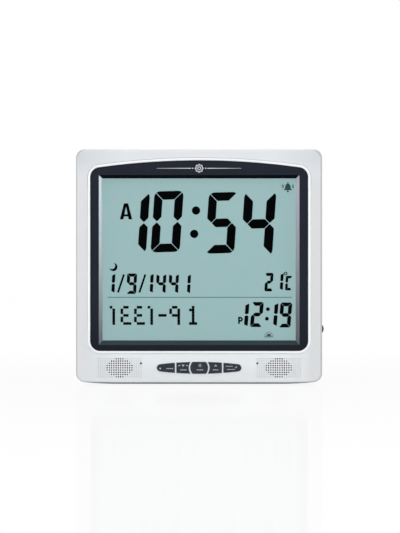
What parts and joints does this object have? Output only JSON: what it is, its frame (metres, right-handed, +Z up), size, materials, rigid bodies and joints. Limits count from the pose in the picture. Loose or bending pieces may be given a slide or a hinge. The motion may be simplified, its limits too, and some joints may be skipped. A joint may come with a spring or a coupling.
{
  "type": "prayer time alarm clock",
  "caption": "Flat square desk and wall clock with a large reflective LCD in a dark sloped frame, a row of keys between two speaker grilles, a side volume wheel and a fold-out leg.",
  "frame": {"origin": "on the flat foot of the case, at the middle of its width and of its depth", "axes": "+Z up, +X to the viewer's right, the display faces -Y"},
  "size_m": [0.2471, 0.0331, 0.2336],
  "materials": {
    "case_plastic": "fine satin, moulded ABS painted silver white",
    "bezel_plastic": "polished dark navy",
    "display_film": "clear polarising film, grey green in front of the reflector",
    "display_glass": "clear float glass",
    "reflector_film": "matt silver reflector",
    "holder_plastic": "as moulded",
    "zebra_rubber": "striped conductive silicone",
    "circuit_board": "solder resist",
    "chip_epoxy": "moulded epoxy",
    "capacitor_sleeve": "shrunk sleeve",
    "bright_metal": "nickel plated",
    "key_rubber": "silicone rubber",
    "key_plastic": "dark slate, satin",
    "sensor_bead": "dipped bead",
    "speaker_steel": "zinc plated steel",
    "speaker_paper": "pressed film cone",
    "speaker_magnet": "sintered ferrite and plated yoke",
    "gasket_foam": "thin foam",
    "wheel_plastic": "moulded",
    "cell_jacket": "plain printed jacket",
    "screw_steel": "zinc plated",
    "wire_pvc": "PVC sleeve"
  },
  "bodies": {
    "clock_case": {"front_case": "case_plastic", "rear_case": "case_plastic", "display_bezel": "bezel_plastic", "lcd_front_polariser": "display_film", "lcd_front_glass": "display_glass", "lcd_rear_glass": "display_glass", "lcd_reflector": "reflector_film", "lcd_holder": "holder_plastic", "zebra_strip": "zebra_rubber", "main_board": "circuit_board", "key_board": "circuit_board", "controller_glob": "chip_epoxy", "sound_chip": "chip_epoxy", "amplifier_chip": "chip_epoxy", "capacitors": "capacitor_sleeve", "quartz_crystal": "bright_metal", "key_membrane": "key_rubber", "temperature_sensor": "sensor_bead", "left_speaker_basket": "speaker_steel", "right_speaker_basket": "speaker_steel", "left_speaker_cone": "speaker_paper", "right_speaker_cone": "speaker_paper", "left_speaker_magnet": "speaker_magnet", "right_speaker_magnet": "speaker_magnet", "speaker_gaskets": "gasket_foam", "volume_potentiometer": "holder_plastic", "batteries": "cell_jacket", "battery_springs": "bright_metal", "battery_contacts": "bright_metal", "case_screws": "screw_steel", "display_screws": "screw_steel", "board_screws": "screw_steel", "key_board_screws": "screw_steel", "speaker_screws": "screw_steel", "speaker_leads": "wire_pvc", "battery_leads": "wire_pvc"},
    "left_end_key": {"left_end_key": "key_plastic"},
    "left_key": {"left_key": "key_plastic"},
    "centre_key": {"centre_key": "key_plastic"},
    "right_key": {"right_key": "key_plastic"},
    "right_end_key": {"right_end_key": "key_plastic"},
    "volume_wheel": {"volume_wheel": "wheel_plastic"},
    "battery_door": {"battery_door": "case_plastic"},
    "desk_stand": {"desk_stand": "case_plastic"}
  },
  "joints": [
    {"name": "left_end_key_press", "type": "slide", "parent": "clock_case", "child": "left_end_key", "axis": [0, 1, 0], "range_m": [0, 0.001], "stiffness_N_per_m": 400, "deforming": ["key_membrane"]},
    {"name": "left_key_press", "type": "slide", "parent": "clock_case", "child": "left_key", "axis": [0, 1, 0], "range_m": [0, 0.001], "stiffness_N_per_m": 400, "deforming": ["key_membrane"]},
    {"name": "centre_key_press", "type": "slide", "parent": "clock_case", "child": "centre_key", "axis": [0, 1, 0], "range_m": [0, 0.001], "stiffness_N_per_m": 400, "deforming": ["key_membrane"]},
    {"name": "right_key_press", "type": "slide", "parent": "clock_case", "child": "right_key", "axis": [0, 1, 0], "range_m": [0, 0.001], "stiffness_N_per_m": 400, "deforming": ["key_membrane"]},
    {"name": "right_end_key_press", "type": "slide", "parent": "clock_case", "child": "right_end_key", "axis": [0, 1, 0], "range_m": [0, 0.001], "stiffness_N_per_m": 400, "deforming": ["key_membrane"]},
    {"name": "volume_turn", "type": "hinge", "parent": "clock_case", "child": "volume_wheel", "pos_m": [0.1181, -0.0031, 0.0545], "axis": [0, 1, 0], "range_deg": [-135, 135]},
    {"name": "battery_door_swing", "type": "hinge", "parent": "clock_case", "child": "battery_door", "pos_m": [0, 0.016, 0.12535], "axis": [-1, 0, 0], "range_deg": [0, 60]},
    {"name": "desk_stand_fold", "type": "hinge", "parent": "clock_case", "child": "desk_stand", "pos_m": [0, 0.0134, 0.11], "axis": [1, 0, 0], "range_deg": [0, 35]}
  ]
}
